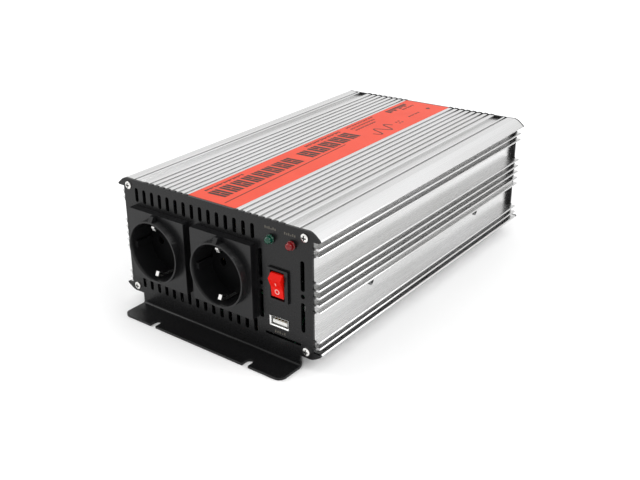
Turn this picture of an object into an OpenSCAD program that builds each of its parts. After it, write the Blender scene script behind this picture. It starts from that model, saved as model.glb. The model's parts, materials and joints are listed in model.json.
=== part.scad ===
// DC to AC power inverter: a finned two-shell aluminium case between two bent sheet end panels.
// Millimetres. +X is right seen from the front, the front faces -Y, +Z is up.
// The origin is on the floor under the middle of the case.

/* [Case] */
// Length of the two aluminium shells
shell_l = 260; // [240:1:300]
// Thickness of the end panels' steel sheet
sheet_t = 1.6; // [1.2:0.1:2]
// Height of the panels' lower edge over the floor
riser_h = 8.4; // [7:0.1:12]
// Reach of each flange beyond its panel
flange_d = 19.3; // [17:0.1:24]
// Width of each flange
flange_w = 136.6; // [120:0.2:145]
// Thickness of the side fins
fin_t = 1.4; // [1:0.1:2]
// Depth of the grooves in the roof and the floor
groove_d = 2; // [1:0.1:2.4]
// Width of the label on the roof
label_w = 39.2; // [20:0.1:40]

/* [Sockets] */
// Side of the square socket plates
plate_w = 50; // [48:0.5:52]
// Inner radius of the round plug well
well_r = 19.7; // [19.5:0.1:20]
// Depth of the well from its rim
well_d = 17.5; // [16:0.1:18]
// Radius of the two live pin holes
pin_hole_r = 2.5; // [2.4:0.05:2.8]

/* [Switch] */
// Tilt of the rocker each side of its middle
rocker_tilt = 14; // [8:1:14]

/* [Rear] */
// Side of the square cooling fan
fan_w = 60; // [60:1:62]
// Radius of the two threaded battery studs
stud_r = 3; // [2.5:0.1:3.2]

/* [Hidden] */
$fn = 48;
fine = 96;
eps = 0.01;
run_fit = 0.06;

// Panel and shell outline, half sizes from the case's middle height
panel_hw = 78;
panel_hh = 42.1;
edge_hh = 41.7;
rib_hh = 41.8;
mid_z = riser_h + panel_hh;
front_y = -(shell_l / 2 + sheet_t);

// Shell section
wall_x = 75;
wall_t = 2;
inner_x = wall_x - wall_t;
roof_hh = 37.4;
shoulder_x = 75.9;
fin_tip_x = 82.2;
fin_zs = [30.9, 26.2, 9.8, 4.9, 0, -4.9];
lower_fin_zs = [33.7, 29.1, 9.7];
seam_hh = 7.3;
seam_gap = 0.1;
seam_step = 3.2;
groove_x0 = 23.35;
groove_pitch = 5.12;
groove_n = 7;
groove_w = 1.8;
groove_flare = [0.7, 0.4];
wide_groove = [58.9, 66.2];
thin_groove_x = 68.6;
thin_groove_w = 1.5;
label_t = 0.3;
label_slack = 0.2;
screw_x = 73;
screw_hh = 37.2;
screw_hole_r = 1.3;
tongue_t = 1.9;
tongue_top = 2;
tongue_end = 11;
ledge_w = 2.6;
ledge_t = 1.5;

// Ear at each corner of the shells and panels: points from under the ear up to the shoulder
ear_tip = [82.5, 36.5];
ear_tip_r = 0.8;
ear_root_hh = 35.7;
lower_ear_drop = 1;

// Bend between a panel's riser and its flange
bend_ri = 1.2;
bend_ro = bend_ri + sheet_t;
flange_corner_r = 5;
flange_slot_x = 40.2;
flange_slot_w = 4.8;
flange_slot_d = 7;

// Front panel features: x, and height over the floor
vent_x0 = -66.1;
vent_pitch = 7.13;
vent_n = 15;
vent_w = 3;
vent_h = 9.9;
vent_top_z = 77;
vent_low_z = 13.7;
column_xs = [39.1, 70.8];
column_w = 3;
column_slots = [[25.5, 45.2], [52.7, 72.4]];
column_dot_z = 49.4;
cross_slot = [41.6, 68.9];
cross_slot_z = 16.3;
cross_slot_w = 1.8;

// Sockets
socket_xs = [-44.6, 11.25];
socket_z = 49.5;
plate_proud = 5.3;
plate_corner_r = 1;
rim_proud = 10.3;
rim_r = 21.6;
can_r = 21.2;
can_d = 31.5;
can_lip_r = 18.4;
insert_end = 30;
well_flare = [0.9, 2.5];
well_floor = well_d - rim_proud;
pin_x = 9.5;
pin_wall = 2.8;
chamber_r = 3.7;
guide_w = 4.4;
guide_h = 2;
key_w = 3.2;
clip_w = 2.6;
clip_end = 28;
sleeve_gap = 1;
sleeve_l = 17.6;
sleeve_bore = 16.4;

// Rocker switch
switch_pos = [53, 51.8];
bezel_w = 15.5;
bezel_h = 21.7;
bezel_proud = 1.5;
switch_body_w = 13.2;
switch_body_h = 19.8;
switch_body_d = 14;
switch_cavity_w = 10.6;
switch_cavity_h = 18.9;
switch_cavity_d = 11;
rocker_w = 9.1;
rocker_face = [5.9, 6.6];
rocker_dip = 0.9;
rocker_shoulder = [2.6, 8.8];
rocker_skirt = [0.8, 8.4];
rocker_web = 5;
rocker_hub_r = 2.6;
rocker_pivot_y = 2.7;
trunnion_r = 1.2;

// Lamps and the small socket
led_xs = [47.9, 63.5];
led_z = 80.6;
led_r = 2.5;
led_stem = 2.4;
led_flange_r = 2.9;
led_flange_t = 0.8;
collar_r = 3.3;
collar_lip = 0.4;
usb_pos = [52.8, 26.3];
usb_lip_w = 14.6;
usb_lip_h = 6.8;
usb_w = 13.7;
usb_h = 6.1;
usb_d = 13;
usb_wall = 0.35;
usb_lip_y = 0.6;
usb_flare = 0.15;
usb_tongue_w = 11;
usb_tongue_z = [-1.5, 0.7];

// Rear panel features, seen from behind with x to the right
fan_x = -38;
fan_d = 15;
fan_bore_r = 28.2;
fan_pitch = 50;
fan_hole_r = 2.1;
fan_screw_r = 1.9;
hub_r = 12.5;
blade_n = 7;
blade_a = 38;
shaft_r = 1.5;
wire_r = 0.9;
guard_rings = [8, 15, 22, 29.5];
terminal_xs = [50, 22];
base_r = 11;
base_h = 5;
neck_r = 5;
knob_r = 8;
knob_y = 6.8;
knob_l = 11.4;
stud_out = 16.8;
stud_in = 16;
washer_y = 5.3;
washer_t = 1.2;
earth_pos = [64, 25];

// Inside: heights over the floor and places along the case
board_t = 1.6;
board_top = 21.3;
board_hw = 72.8;
board_y0 = -100;
board_y1 = 112;
mosfet_pitch = 14;
mosfet_rows = [[11, 6], [-87.2, 4]];
mosfet_z = 23.6;
mosfet_body = [5, 10, 15];
mosfet_x = 72.4;
mosfet_leg_x = 3.2;
bar_x = 67.4;
bar_t = 3;
bar_h = 10;
side_screw_z = 33.9;
side_screw_ys = [-66.2, 74];
transformer_xs = [-42, 0, 42];
transformer_y = 34;
core_w = 40;
core_h = 40;
core_d = 22;
core_leg = 6;
core_window = [8, 26];
input_cap_y = 84;
bus_cap_y = -34;

// A 2D outline in X and Z, made into a plate from y0 to y1
module along_y(y0, y1) {
    translate([0, y1, 0])
        rotate([90, 0, 0])
            linear_extrude(y1 - y0)
                children();
}

// A 2D outline in Y and Z, made into a bar from x0 to x1
module along_x(x0, x1) {
    translate([x0, 0, 0])
        rotate([90, 0, 90])
            linear_extrude(x1 - x0)
                children();
}

module both_sides() {
    for (side = [0, 1])
        mirror([side, 0, 0])
            children();
}

// Puts y = 0 on the outer face of a panel, with -y outwards
module at_front() {
    translate([0, front_y, 0])
        children();
}

module at_rear() {
    rotate(180)
        translate([0, front_y, 0])
            children();
}

module peg(r, y0, y1, sides = $fn) {
    translate([0, y1, 0])
        rotate([90, 0, 0])
            cylinder(r = r, h = y1 - y0, $fn = sides);
}

// A slot with round ends, standing up from z0 to z1
module slot_2d(x, z0, z1, w) {
    r = w / 2;
    translate([x - r, z0 + r])
        square([w, z1 - z0 - w]);
    translate([x, z0 + r])
        circle(r, $fn = 24);
    translate([x, z1 - r])
        circle(r, $fn = 24);
}

module rounded_2d(w, h, r) {
    square([w, h - 2 * r], center = true);
    square([w - 2 * r, h], center = true);
    for (x = [-1, 1], y = [-1, 1])
        translate([x * (w / 2 - r), y * (h / 2 - r)])
            circle(r, $fn = 24);
}

// One corner's ear, for the upper right corner; drop lets its tip reach further from the middle
module ear_2d(root_x, drop) {
    root = ear_root_hh + drop;
    polygon([
        [root_x, root], [ear_tip[0], root], [ear_tip[0] + 0.55, 37.1 + drop],
        [79.6, 40.05 + 0.35 * drop], [77.7, 41.2 + 0.1 * drop], [shoulder_x, rib_hh], [root_x, rib_hh]
    ]);
    translate([ear_tip[0], ear_tip[1] + drop])
        circle(ear_tip_r, $fn = 24);
}

// ---------------------------------------------------------------- shells

// Section of one shell, standing on its cut edge; wall_end is where the side walls stop
module cap_2d(wall_end, fins, drop) {
    last_fin = fins[len(fins) - 1];
    difference() {
        union() {
            translate([-shoulder_x, roof_hh])
                square([2 * shoulder_x, rib_hh - roof_hh]);
            both_sides() {
                translate([inner_x, wall_end])
                    square([wall_t, roof_hh - wall_end + 1]);
                translate([screw_x - 4, screw_hh - 4])
                    square([wall_x - screw_x + 4, 5]);
                translate([wall_x - eps, min(wall_end, last_fin)])
                    square([seam_step, abs(wall_end - last_fin)]);
                ear_2d(inner_x, drop);
                for (z = fins)
                    fin_2d(z);
            }
        }
        both_sides()
            roof_grooves_2d();
        both_sides()
            translate([screw_x, screw_hh])
                circle(screw_hole_r, $fn = 32);
    }
}

module fin_2d(z) {
    r = fin_t / 2;
    translate([wall_x - 0.5, z - r])
        square([fin_tip_x - r - wall_x + 0.5, fin_t]);
    translate([fin_tip_x - r, z])
        circle(r, $fn = 24);
}

// Groove cut from above between x0 and x1, with a flared mouth that leaves the ribs crowned
module groove_2d(x0, x1) {
    mouth = rib_hh - groove_flare[1];
    polygon([
        [x0, rib_hh - groove_d], [x1, rib_hh - groove_d], [x1, mouth], [x1 + groove_flare[0], rib_hh + eps],
        [x0 - groove_flare[0], rib_hh + eps], [x0, mouth]
    ]);
}

module roof_grooves_2d() {
    for (i = [0 : groove_n - 1]) {
        x = groove_x0 + i * groove_pitch;
        groove_2d(x - groove_w / 2, x + groove_w / 2);
    }
    groove_2d(wide_groove[0], wide_groove[1]);
    groove_2d(thin_groove_x - thin_groove_w / 2, thin_groove_x + thin_groove_w / 2);
}

module upper_shell() {
    color("silver")
        along_y(-shell_l / 2, shell_l / 2)
            translate([0, mid_z])
                difference() {
                    cap_2d(-seam_hh, fin_zs, 0);
                    translate([-label_w / 2 - label_slack, rib_hh - label_t])
                        square([label_w + 2 * label_slack, 1]);
                }
}

// The lower shell adds a tongue inside the seam and two pairs of ledges that hold the board
module lower_shell() {
    board_hh = mid_z - board_top;
    seam = seam_hh + seam_gap;
    color("silver")
        difference() {
            along_y(-shell_l / 2, shell_l / 2)
                translate([0, mid_z])
                    mirror([0, 1]) {
                        cap_2d(seam, lower_fin_zs, lower_ear_drop);
                        both_sides() {
                            translate([inner_x - tongue_t - seam_gap, tongue_top])
                                square([tongue_t, tongue_end - tongue_top]);
                            translate([inner_x - tongue_t - seam_gap, seam])
                                square([tongue_t + 0.2, tongue_end - seam]);
                            for (z = [board_hh - 0.1 - ledge_t, board_hh + board_t + 0.1])
                                translate([inner_x - ledge_w, z])
                                    square([ledge_w + 0.1, ledge_t]);
                        }
                    }
            both_sides()
                for (y = side_screw_ys)
                    translate([inner_x - 1, y, side_screw_z])
                        rotate([0, 90, 0])
                            cylinder(r = 1.7, h = 4, $fn = 32);
        }
}

module top_label() {
    color("tomato")
        translate([-label_w / 2, -shell_l / 2 + 0.2, mid_z + rib_hh - label_t])
            cube([label_w, shell_l - 0.4, label_t]);
}

// ---------------------------------------------------------------- panels

// Outline of a panel: it follows the shells, with small bumps over the fins and the roof ribs
module panel_2d() {
    bump = panel_hh - edge_hh;
    translate([0, mid_z]) {
        square([2 * shoulder_x, 2 * edge_hh], center = true);
        square([2 * panel_hw, 2 * (ear_root_hh + lower_ear_drop) + 1], center = true);
        for (up = [0, 1])
            mirror([0, up])
                both_sides()
                    ear_2d(inner_x, up * lower_ear_drop);
        both_sides() {
            for (z = concat(fin_zs, -lower_fin_zs))
                translate([panel_hw - eps, z - 1])
                    square([bump, 2]);
            for (i = [0 : groove_n])
                translate([groove_x0 + (i - 0.5) * groove_pitch - 1.3, edge_hh - eps])
                    square([2.6, bump + eps]);
        }
    }
    translate([-flange_w / 2, bend_ro])
        square([flange_w, riser_h]);
}

module panel_bend() {
    translate([0, -bend_ri, bend_ro])
        along_x(-flange_w / 2, flange_w / 2)
            intersection() {
                difference() {
                    circle(bend_ro, $fn = fine);
                    circle(bend_ri, $fn = fine);
                }
                translate([0, -bend_ro])
                    square(bend_ro);
            }
}

module flange() {
    depth = flange_d - bend_ri;
    straight = depth - flange_corner_r;
    translate([0, -flange_d, 0])
        linear_extrude(sheet_t)
            difference() {
                union() {
                    translate([-flange_w / 2, flange_corner_r])
                        square([flange_w, straight]);
                    translate([-flange_w / 2 + flange_corner_r, 0])
                        square([flange_w - 2 * flange_corner_r, depth]);
                    both_sides()
                        translate([flange_w / 2 - flange_corner_r, flange_corner_r])
                            circle(flange_corner_r);
                }
                both_sides() {
                    translate([flange_slot_x - flange_slot_w / 2, -1])
                        square([flange_slot_w, flange_slot_d + 1 - flange_slot_w / 2]);
                    translate([flange_slot_x, flange_slot_d - flange_slot_w / 2])
                        circle(flange_slot_w / 2);
                }
            }
}

// A bent panel; its children are the cut-outs, in x and height over the floor
module bent_panel() {
    along_y(0, sheet_t)
        difference() {
            panel_2d();
            children();
            for (x = [-screw_x, screw_x], z = [-screw_hh, screw_hh])
                translate([x, mid_z + z])
                    circle(1.7, $fn = 32);
        }
    panel_bend();
    flange();
}

module front_cutouts() {
    for (i = [0 : vent_n - 1], z = [vent_top_z, vent_low_z])
        slot_2d(vent_x0 + i * vent_pitch, z, z + vent_h, vent_w);
    for (x = column_xs) {
        for (s = column_slots)
            slot_2d(x, s[0], s[1], column_w);
        translate([x, column_dot_z])
            circle(column_w / 2, $fn = 24);
    }
    translate([cross_slot[0], cross_slot_z - cross_slot_w / 2])
        square([cross_slot[1] - cross_slot[0], cross_slot_w]);
    for (x = socket_xs)
        translate([x, socket_z])
            circle(can_r + 0.2, $fn = fine);
    for (x = led_xs)
        translate([x, led_z])
            circle(led_r + 0.5, $fn = 32);
    translate(switch_pos)
        square([switch_body_w + 0.4, switch_body_h + 0.4], center = true);
    translate(usb_pos)
        square([usb_w + 0.4, usb_h + 0.3], center = true);
}

module rear_cutouts() {
    translate([fan_x, mid_z]) {
        circle(fan_bore_r, $fn = fine);
        for (x = [-1, 1], z = [-1, 1])
            translate([x, z] * fan_pitch / 2)
                circle(fan_hole_r, $fn = 32);
    }
    for (x = terminal_xs)
        translate([x, mid_z])
            circle(neck_r + 0.2);
    translate(earth_pos)
        circle(2.6);
}

module front_panel() {
    color([0.15, 0.15, 0.16])
        at_front()
            bent_panel()
                front_cutouts();
}

module rear_panel() {
    color([0.15, 0.15, 0.16])
        at_rear()
            bent_panel()
                rear_cutouts();
}

// Pan-head screw with a domed head and a cross recess, its head's under face at y = 0
module pan_screw(head_r, head_h, shaft_r, shaft_l) {
    crown = head_h * 0.45;
    dome_r = (head_r * head_r + crown * crown) / (2 * crown);
    recess = [head_r * 1.24, head_h * 0.72, head_r * 0.36];
    difference() {
        intersection() {
            peg(head_r, -head_h, 0);
            translate([0, dome_r - head_h, 0])
                sphere(dome_r, $fn = fine);
        }
        for (a = [0, 90])
            rotate([0, a, 0])
                translate([-recess[0] / 2, -head_h - 1, -recess[2] / 2])
                    cube([recess[0], recess[1] + 1, recess[2]]);
    }
    peg(shaft_r, -0.2, shaft_l, 32);
}

module panel_screws() {
    for (x = [-screw_x, screw_x], z = [-screw_hh, screw_hh])
        translate([x, 0, mid_z + z])
            pan_screw(2.6, 1.6, 1.25, 12);
}

module front_panel_screws() {
    color("gainsboro")
        at_front()
            panel_screws();
}

module rear_panel_screws() {
    color("gainsboro")
        at_rear()
            panel_screws();
}

module side_screws() {
    color("gainsboro")
        both_sides()
            for (y = side_screw_ys)
                translate([wall_x, y, side_screw_z])
                    rotate([0, 0, 90])
                        pan_screw(2.4, 1.3, 1.5, wall_x - bar_x + bar_t);
}

// ---------------------------------------------------------------- mains sockets

// Plate, rim and round can in one moulding, with a lip behind that keeps the insert in
module socket_housing(x) {
    translate([x, 0, socket_z]) {
        difference() {
            union() {
                along_y(-plate_proud, 0)
                    rounded_2d(plate_w, plate_w, plate_corner_r);
                peg(rim_r, -rim_proud, -plate_proud + eps, fine);
                peg(can_r, -eps, can_d, fine);
                socket_key();
            }
            peg(well_r, -rim_proud - 1, insert_end, fine);
            translate([0, -rim_proud - eps, 0])
                rotate([-90, 0, 0])
                    cylinder(r1 = well_r + well_flare[0], r2 = well_r, h = well_flare[1], $fn = fine);
            peg(can_lip_r, insert_end - 1, can_d + 1, fine);
        }
        socket_guides();
    }
}

// Thick disc that makes the well's floor, with the pin holes and the chambers behind them
module socket_insert(x) {
    notch_r = 18.6;
    translate([x, 0, socket_z])
        difference() {
            peg(well_r - 0.1, well_floor, insert_end, fine);
            for (side = [-1, 1])
                translate([side * pin_x, 0, 0]) {
                    peg(pin_hole_r, well_floor - 1, well_floor + pin_wall + 1);
                    peg(chamber_r, well_floor + pin_wall, insert_end + 1);
                }
            for (up = [0, 1])
                mirror([0, 0, up])
                    translate([-clip_w / 2 - 0.1, well_floor - 1, notch_r])
                        cube([clip_w + 0.2, insert_end, well_r - notch_r]);
        }
}

// Ridges at the sides of the well that line the plug up
module socket_guides() {
    intersection() {
        peg(well_r + 0.5, -rim_proud + 4, well_floor, fine);
        for (side = [-1, 1])
            translate([side * (well_r - guide_h / 2 + 0.5), -2, 0])
                cube([guide_h + 1, 30, guide_w], center = true);
    }
}

// Rib from the rim to the plate's top edge
module socket_key() {
    half = plate_w / 2;
    along_x(-key_w / 2, key_w / 2)
        polygon([
            [-1, well_r + 1], [-rim_proud, well_r + 1], [-rim_proud, rim_r],
            [-plate_proud - 2.7, half], [-1, half]
        ]);
}

// Spring clips at the top and bottom of the well, bent to grip the plug's earth strips
module earth_clips(x) {
    translate([x, 0, socket_z])
        for (up = [0, 1])
            mirror([0, 0, up])
                along_x(-clip_w / 2, clip_w / 2)
                    polygon([
                        [clip_end, 19.5], [-2, 19.5], [-7.6, 17.9], [-8, 17.3], [-6.6, 14.5],
                        [-1.5, 16.6], [-1.7, 17.3], [-6.2, 15.4], [-7.1, 17.1],
                        [-1.8, 18.7], [clip_end, 18.7]
                    ]);
}

// Sleeves that grip the plug's pins, closed behind, with a solder tail
module socket_contacts(x) {
    y0 = well_floor + pin_wall + sleeve_gap;
    for (side = [-1, 1])
        translate([x + side * pin_x, 0, socket_z]) {
            difference() {
                peg(chamber_r - 0.1, y0, y0 + sleeve_l);
                peg(pin_hole_r + 0.05, y0 - 1, y0 + sleeve_bore);
            }
            translate([-1.5, y0 + sleeve_l - eps, -0.4])
                cube([3, 6, 0.8]);
        }
}

module socket_left() {
    color([0.16, 0.16, 0.17])
        at_front()
            socket_housing(socket_xs[0]);
}

module socket_right() {
    color([0.16, 0.16, 0.17])
        at_front()
            socket_housing(socket_xs[1]);
}

module socket_insert_left() {
    color([0.13, 0.13, 0.14])
        at_front()
            socket_insert(socket_xs[0]);
}

module socket_insert_right() {
    color([0.13, 0.13, 0.14])
        at_front()
            socket_insert(socket_xs[1]);
}

module earth_clips_left() {
    color("lightgray")
        at_front()
            earth_clips(socket_xs[0]);
}

module earth_clips_right() {
    color("lightgray")
        at_front()
            earth_clips(socket_xs[1]);
}

module socket_contacts_left() {
    color("goldenrod")
        at_front()
            socket_contacts(socket_xs[0]);
}

module socket_contacts_right() {
    color("goldenrod")
        at_front()
            socket_contacts(socket_xs[1]);
}

// ---------------------------------------------------------------- rocker switch

module at_switch() {
    at_front()
        translate([switch_pos[0], 0, switch_pos[1]])
            children();
}

module switch_housing() {
    color([0.1, 0.1, 0.1])
        at_switch()
            difference() {
                union() {
                    along_y(-bezel_proud, 0)
                        rounded_2d(bezel_w, bezel_h, 0.8);
                    along_y(-eps, switch_body_d)
                        square([switch_body_w, switch_body_h], center = true);
                }
                along_y(-bezel_proud - 1, switch_cavity_d)
                    square([switch_cavity_w, switch_cavity_h], center = true);
                translate([-switch_body_w, rocker_pivot_y, 0])
                    rotate([0, 90, 0])
                        cylinder(r = trunnion_r + run_fit, h = 2 * switch_body_w);
            }
}

// Section of the rocker round its pivot: a flared block with a shallow valley, on a web and a hub
module rocker_2d() {
    polygon([
        [-rocker_face[0], rocker_face[1]], [rocker_dip - rocker_face[0], 0],
        [-rocker_face[0], -rocker_face[1]], [-rocker_shoulder[0], -rocker_shoulder[1]],
        [-rocker_skirt[0], -rocker_skirt[1]], [-rocker_skirt[0], rocker_skirt[1]],
        [-rocker_shoulder[0], rocker_shoulder[1]]
    ]);
    translate([-rocker_skirt[0] - eps, -rocker_web / 2])
        square([rocker_skirt[0] + eps, rocker_web]);
    circle(rocker_hub_r);
}

// Rocker with its lower end pressed in
module switch_rocker() {
    color("red")
        at_switch()
            translate([0, rocker_pivot_y, 0])
                rotate([rocker_tilt, 0, 0]) {
                    along_x(-rocker_w / 2, rocker_w / 2)
                        rocker_2d();
                    translate([-switch_body_w / 2, 0, 0])
                        rotate([0, 90, 0])
                            cylinder(r = trunnion_r, h = switch_body_w);
                }
}

module switch_terminals() {
    color("lightgray")
        at_switch()
            for (z = [-5.5, 0, 5.5])
                translate([-2.4, switch_body_d, z - 0.4])
                    cube([4.8, 8, 0.8]);
}

// ---------------------------------------------------------------- lamps and small socket

module led(x) {
    translate([x, 0, led_z]) {
        peg(led_r, -led_stem, 5);
        peg(led_flange_r, -collar_lip - led_flange_t, -collar_lip);
        translate([0, -led_stem, 0])
            sphere(led_r);
        for (side = [-1, 1])
            translate([side * 1.27 - 0.25, 4.9, -0.25])
                cube([0.5, 9, 0.5]);
    }
}

module power_led() {
    color("seagreen")
        at_front()
            led(led_xs[0]);
}

module fault_led() {
    color("crimson")
        at_front()
            led(led_xs[1]);
}

// Snap rings that hold the lamps in the panel
module led_collars() {
    color([0.1, 0.1, 0.1])
        at_front()
            for (x = led_xs)
                translate([x, 0, led_z])
                    difference() {
                        union() {
                            peg(collar_r, -collar_lip, 0);
                            peg(led_r + 0.4, -eps, 4);
                        }
                        peg(led_r + 0.1, -2, 5);
                    }
}

module at_usb() {
    at_front()
        translate([usb_pos[0], 0, usb_pos[1]])
            children();
}

// Flared mouth of the metal shell: it narrows from the lip's edge to the shell's own opening
module usb_mouth(inner) {
    outer = [usb_lip_w - 2 * usb_flare, usb_lip_h - 2 * usb_flare];
    y0 = -usb_lip_y - eps;
    intersection() {
        along_x(-usb_lip_w, usb_lip_w)
            polygon([
                [y0, -outer[1] / 2], [y0, outer[1] / 2],
                [eps, inner[1] / 2], [eps, -inner[1] / 2]
            ]);
        translate([0, 0, -usb_lip_h])
            linear_extrude(2 * usb_lip_h)
                polygon([
                    [-outer[0] / 2, y0], [outer[0] / 2, y0],
                    [inner[0] / 2, eps], [-inner[0] / 2, eps]
                ]);
    }
}

module usb_shell() {
    inner = [usb_w - 2 * usb_wall, usb_h - 2 * usb_wall];
    color("gainsboro")
        at_usb()
            difference() {
                union() {
                    along_y(-usb_lip_y, 0)
                        square([usb_lip_w, usb_lip_h], center = true);
                    along_y(-eps, usb_d)
                        square([usb_w, usb_h], center = true);
                }
                along_y(0, usb_d + 1)
                    square(inner, center = true);
                usb_mouth(inner);
            }
}

// Insulator: a block that closes the shell's back and carries the tongue
module usb_tongue() {
    color("white")
        at_usb() {
            along_y(usb_d - 2, usb_d)
                square([usb_w - 2 * usb_wall - 0.1, usb_h - 2 * usb_wall - 0.1], center = true);
            translate([-usb_tongue_w / 2, 0.2, usb_tongue_z[0]])
                cube([usb_tongue_w, usb_d - 2, usb_tongue_z[1] - usb_tongue_z[0]]);
        }
}

module usb_contacts() {
    color("gold")
        at_usb()
            for (i = [-1.5 : 1 : 1.5])
                translate([i * 2.5 - 0.6, 1, usb_tongue_z[1]])
                    cube([1.2, usb_d - 3.2, 0.25]);
}

module usb_board() {
    color("darkgreen")
        at_usb()
            translate([-9, 3, -usb_h / 2 - 1.2])
                cube([18, 18, 1.2]);
}

// ---------------------------------------------------------------- fan

module at_fan() {
    at_rear()
        translate([fan_x, 0, mid_z])
            children();
}

module fan_corners() {
    for (x = [-1, 1], z = [-1, 1])
        translate([x * fan_pitch / 2, 0, z * fan_pitch / 2])
            children();
}

module fan_frame() {
    y0 = sheet_t;
    y1 = sheet_t + fan_d;
    color([0.12, 0.12, 0.12])
        at_fan()
            difference() {
                union() {
                    difference() {
                        along_y(y0, y1)
                            square(fan_w, center = true);
                        peg(28.6, y0 - 1, y1 + 1, fine);
                    }
                    peg(hub_r + 1, y1 - 2.4, y1);
                    for (a = [45 : 90 : 315])
                        rotate([0, a, 0])
                            translate([0, y1 - 2.4, -1.5])
                                cube([30, 2.4, 3]);
                }
                fan_corners()
                    peg(fan_hole_r, y0 - 1, y1 + 1);
                peg(shaft_r + run_fit, y1 - 5, y1 + 1);
            }
}

// Hub cup, pitched blades and the shaft that turns in the frame's bearing
module fan_rotor() {
    y0 = sheet_t + 1;
    y1 = sheet_t + fan_d - 3;
    span = y1 - y0;
    color([0.18, 0.18, 0.19])
        at_fan() {
            peg(hub_r, y0, y1);
            peg(shaft_r, y1 - 1, y1 + 3);
            intersection() {
                difference() {
                    peg(27.8, y0 + 0.5, y1 - 0.5, fine);
                    peg(hub_r - 1, y0, y1);
                }
                for (i = [0 : blade_n - 1])
                    rotate([0, i * 360 / blade_n, 0])
                        translate([hub_r - 2, y0 + span / 2, 0])
                            rotate([blade_a, 0, 0])
                                translate([0, -span, -0.8])
                                    cube([20, 2 * span, 1.6]);
            }
        }
}

// Wire finger guard, screwed on with the fan
module fan_guard() {
    reach = fan_pitch / 2 * sqrt(2);
    color("silver")
        at_fan() {
            for (r = guard_rings)
                translate([0, -2.5, 0])
                    rotate([90, 0, 0])
                        rotate_extrude($fn = fine)
                            translate([r, 0])
                                circle(wire_r, $fn = 16);
            for (a = [45 : 90 : 315])
                rotate([0, a, 0])
                    translate([guard_rings[0] - 0.5, -1.2, 0])
                        rotate([0, 90, 0])
                            cylinder(r = wire_r, h = reach - guard_rings[0] - 2.5, $fn = 16);
            fan_corners()
                difference() {
                    peg(4, -1.8, 0);
                    peg(fan_hole_r, -3, 1);
                }
        }
}

module fan_screws() {
    color("gainsboro")
        at_fan()
            fan_corners()
                translate([0, -1.8, 0])
                    pan_screw(3.6, 2.2, fan_screw_r, 22.5);
}

module fan_nuts() {
    y0 = sheet_t + fan_d;
    color("gainsboro")
        at_fan()
            fan_corners()
                difference() {
                    peg(3.9, y0, y0 + 3, 6);
                    peg(fan_screw_r + 0.05, y0 - 1, y0 + 4, 32);
                }
}

// ---------------------------------------------------------------- battery terminals

module at_terminal(x) {
    at_rear()
        translate([x, 0, mid_z])
            children();
}

module terminal_base(x) {
    at_terminal(x)
        difference() {
            union() {
                peg(base_r, -base_h, 0);
                peg(neck_r, -eps, sheet_t);
            }
            peg(stud_r + 0.1, -base_h - 1, sheet_t + 1);
        }
}

module terminal_base_positive() {
    color("firebrick")
        terminal_base(terminal_xs[0]);
}

module terminal_base_negative() {
    color([0.1, 0.1, 0.1])
        terminal_base(terminal_xs[1]);
}

module terminal_studs() {
    color("goldenrod")
        for (x = terminal_xs)
            at_terminal(x)
                peg(stud_r, -stud_out, stud_in);
}

module terminal_insulators() {
    color([0.1, 0.1, 0.1])
        for (x = terminal_xs)
            at_terminal(x)
                difference() {
                    peg(9, sheet_t, sheet_t + 2.5);
                    peg(stud_r + 0.1, 0, 6);
                }
}

// Two hexagon nuts on each stud, with the bar clamped between them
module stud_nuts() {
    color("goldenrod")
        for (x = terminal_xs, y = [sheet_t + 2.5, sheet_t + 8])
            at_terminal(x)
                difference() {
                    peg(5.7, y, y + 4, 6);
                    peg(stud_r + 0.05, y - 1, y + 5);
                }
}

module captive_washer(x) {
    at_terminal(x)
        difference() {
            peg(7.5, -washer_y - washer_t, -washer_y);
            peg(stud_r + run_fit, -washer_y - 3, 0);
        }
}

module washer_positive() {
    color("gainsboro")
        captive_washer(terminal_xs[0]);
}

module washer_negative() {
    color("gainsboro")
        captive_washer(terminal_xs[1]);
}

// Knurled screw cap with a blind bore
module terminal_knob(x) {
    at_terminal(x)
        difference() {
            union() {
                along_y(-knob_y - knob_l, -knob_y - 1.4) {
                    circle(knob_r);
                    for (i = [0 : 15])
                        rotate(i * 22.5)
                            translate([knob_r, 0])
                                circle(0.8, $fn = 16);
                }
                peg(knob_r + 0.9, -knob_y - 1.5, -knob_y);
            }
            peg(stud_r + run_fit, -stud_out - 0.2, 0);
        }
}

module knob_positive() {
    color("firebrick")
        terminal_knob(terminal_xs[0]);
}

module knob_negative() {
    color([0.1, 0.1, 0.1])
        terminal_knob(terminal_xs[1]);
}

module earth_screw() {
    color("goldenrod")
        at_rear()
            translate([earth_pos[0], 0, earth_pos[1]]) {
                peg(2.4, -9, 7, 32);
                peg(4.6, -3.4, 0, 6);
            }
}

module earth_nut() {
    color("goldenrod")
        at_rear()
            translate([earth_pos[0], 0, earth_pos[1]])
                difference() {
                    peg(4.6, sheet_t, sheet_t + 3.2, 6);
                    peg(2.45, 0, 6, 32);
                }
}

// ---------------------------------------------------------------- inside

module main_board() {
    color("darkgreen")
        translate([-board_hw, board_y0, board_top - board_t])
            cube([2 * board_hw, board_y1 - board_y0, board_t]);
}

// Two-window ferrite cores standing on the board
module transformer_cores() {
    color([0.25, 0.25, 0.27])
        for (x = transformer_xs)
            translate([x, transformer_y, board_top])
                along_y(-core_d / 2, core_d / 2)
                    difference() {
                        translate([-core_w / 2, 0])
                            square([core_w, core_h]);
                        both_sides()
                            translate([core_leg, (core_h - core_window[1]) / 2])
                                square(core_window);
                    }
}

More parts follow.
